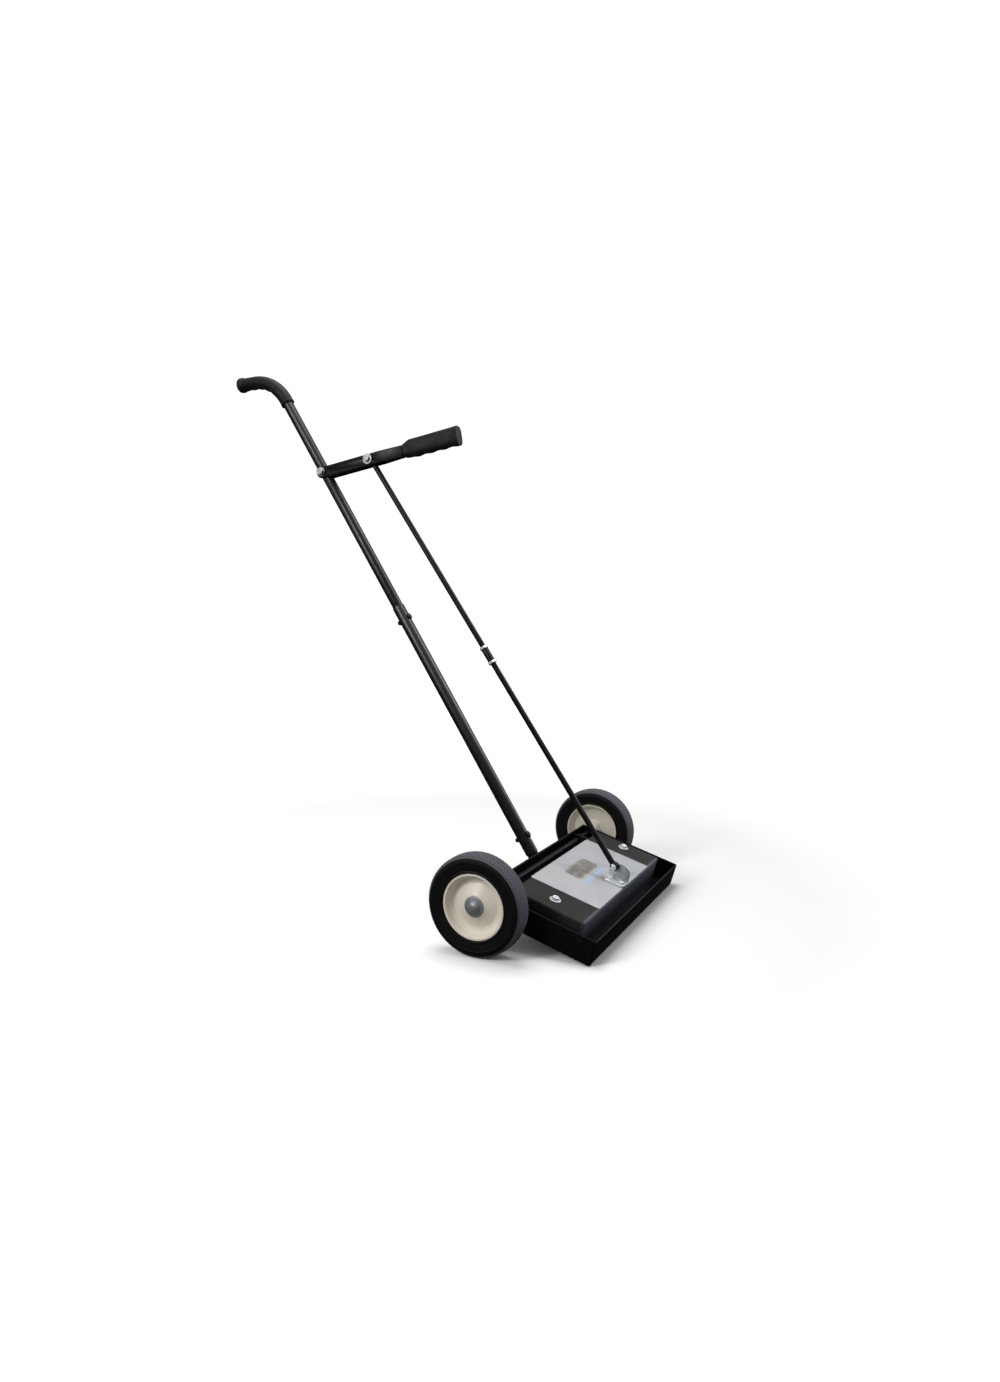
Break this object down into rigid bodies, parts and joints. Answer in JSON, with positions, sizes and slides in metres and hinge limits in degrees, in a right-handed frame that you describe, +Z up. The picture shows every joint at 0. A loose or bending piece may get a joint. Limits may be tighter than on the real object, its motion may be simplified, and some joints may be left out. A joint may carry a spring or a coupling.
{
  "type": "magnetic floor sweeper",
  "caption": "Walk-behind magnetic floor sweeper: wheeled steel tray, lifting magnet box, gooseneck handle and a release lever with a long lift rod.",
  "frame": {"origin": "bottom centre of the whole sweeper's box, on the floor between the wheels and the handle's end", "axes": "+Z up; +X along the axle to the operator's left; -Y to the front, where the tray is"},
  "size_m": [0.675, 1.0732, 1.2382],
  "materials": {
    "black_paint": "black powder coat, semi-gloss",
    "zinc_plate": "bright zinc plate",
    "axle_steel": "blackened drawn steel",
    "ferrite": "dark sintered ferrite",
    "tyre_rubber": "black moulded rubber with a fine tread",
    "grip_rubber": "soft matt black rubber",
    "hub_plastic": "cream moulded plastic",
    "bush_plastic": "grey nylon",
    "label_plastic": "printed grey label"
  },
  "bodies": {
    "chassis": {"tray_shell": "black_paint", "axle": "axle_steel", "left_axle_spacer": "zinc_plate", "right_axle_spacer": "zinc_plate", "left_axle_washer": "zinc_plate", "right_axle_washer": "zinc_plate", "left_axle_cap": "zinc_plate", "right_axle_cap": "zinc_plate", "handle_socket": "black_paint", "lower_tube": "black_paint", "upper_tube": "black_paint", "handle_grip": "grip_rubber", "socket_bolt": "black_paint", "socket_nut": "black_paint", "joint_bolt": "black_paint", "joint_nut": "black_paint", "lever_pivot_bolt": "zinc_plate", "lever_pivot_head_washer": "zinc_plate", "lever_pivot_nut_washer": "zinc_plate", "lever_pivot_nut": "zinc_plate"},
    "left_wheel": {"left_tyre": "tyre_rubber", "left_wheel_hub": "hub_plastic", "left_wheel_bush": "bush_plastic"},
    "right_wheel": {"right_tyre": "tyre_rubber", "right_wheel_hub": "hub_plastic", "right_wheel_bush": "bush_plastic"},
    "release_lever": {"lever_arm": "black_paint", "lever_grip": "grip_rubber", "rod_pin_bolt": "zinc_plate", "rod_pin_head_washer": "zinc_plate", "rod_pin_nut_washer": "zinc_plate", "rod_pin_nut": "zinc_plate"},
    "lift_rod": {"upper_rod": "black_paint", "lower_rod": "black_paint", "rod_coupling": "black_paint", "upper_jam_nut": "zinc_plate", "lower_jam_nut": "zinc_plate"},
    "magnet_carriage": {"magnet_cover": "black_paint", "backing_plate": "axle_steel", "magnet_1": "ferrite", "magnet_2": "ferrite", "magnet_3": "ferrite", "magnet_4": "ferrite", "magnet_5": "ferrite", "magnet_6": "ferrite", "left_magnet_spacer": "zinc_plate", "right_magnet_spacer": "zinc_plate", "left_magnet_washer": "zinc_plate", "right_magnet_washer": "zinc_plate", "left_magnet_bolt": "zinc_plate", "right_magnet_bolt": "zinc_plate", "left_hinge_arm": "black_paint", "right_hinge_arm": "black_paint", "label_plate": "label_plastic", "lift_bracket": "zinc_plate", "front_bracket_bolt": "zinc_plate", "rear_bracket_bolt": "zinc_plate", "lift_pin": "zinc_plate", "lift_pin_clip": "zinc_plate"}
  },
  "joints": [
    {"name": "left_wheel_spin", "type": "hinge", "parent": "chassis", "child": "left_wheel", "pos_m": [0.314, -0.30764, 0.1016], "axis": [1, 0, 0], "continuous": true},
    {"name": "right_wheel_spin", "type": "hinge", "parent": "chassis", "child": "right_wheel", "pos_m": [-0.314, -0.30764, 0.1016], "axis": [1, 0, 0], "continuous": true},
    {"name": "release_lever_pivot", "type": "hinge", "parent": "chassis", "child": "release_lever", "pos_m": [0, 0.2783, 0.98985], "axis": [1, 0, 0], "range_deg": [-20, 0]},
    {"name": "lift_rod_swing", "type": "hinge", "parent": "release_lever", "child": "lift_rod", "pos_m": [0, 0.1431, 1.01196], "axis": [1, 0, 0], "range_deg": [0, 19.7]},
    {"name": "magnet_lift", "type": "hinge", "parent": "chassis", "child": "magnet_carriage", "pos_m": [0, -0.30764, 0.1016], "axis": [1, 0, 0], "range_deg": [-17.3, 0]}
  ],
  "couplings": [
    {"joint": "lift_rod_swing", "follows": "release_lever_pivot", "ratio": -0.98434},
    {"joint": "magnet_lift", "follows": "release_lever_pivot", "ratio": 0.86156}
  ]
}
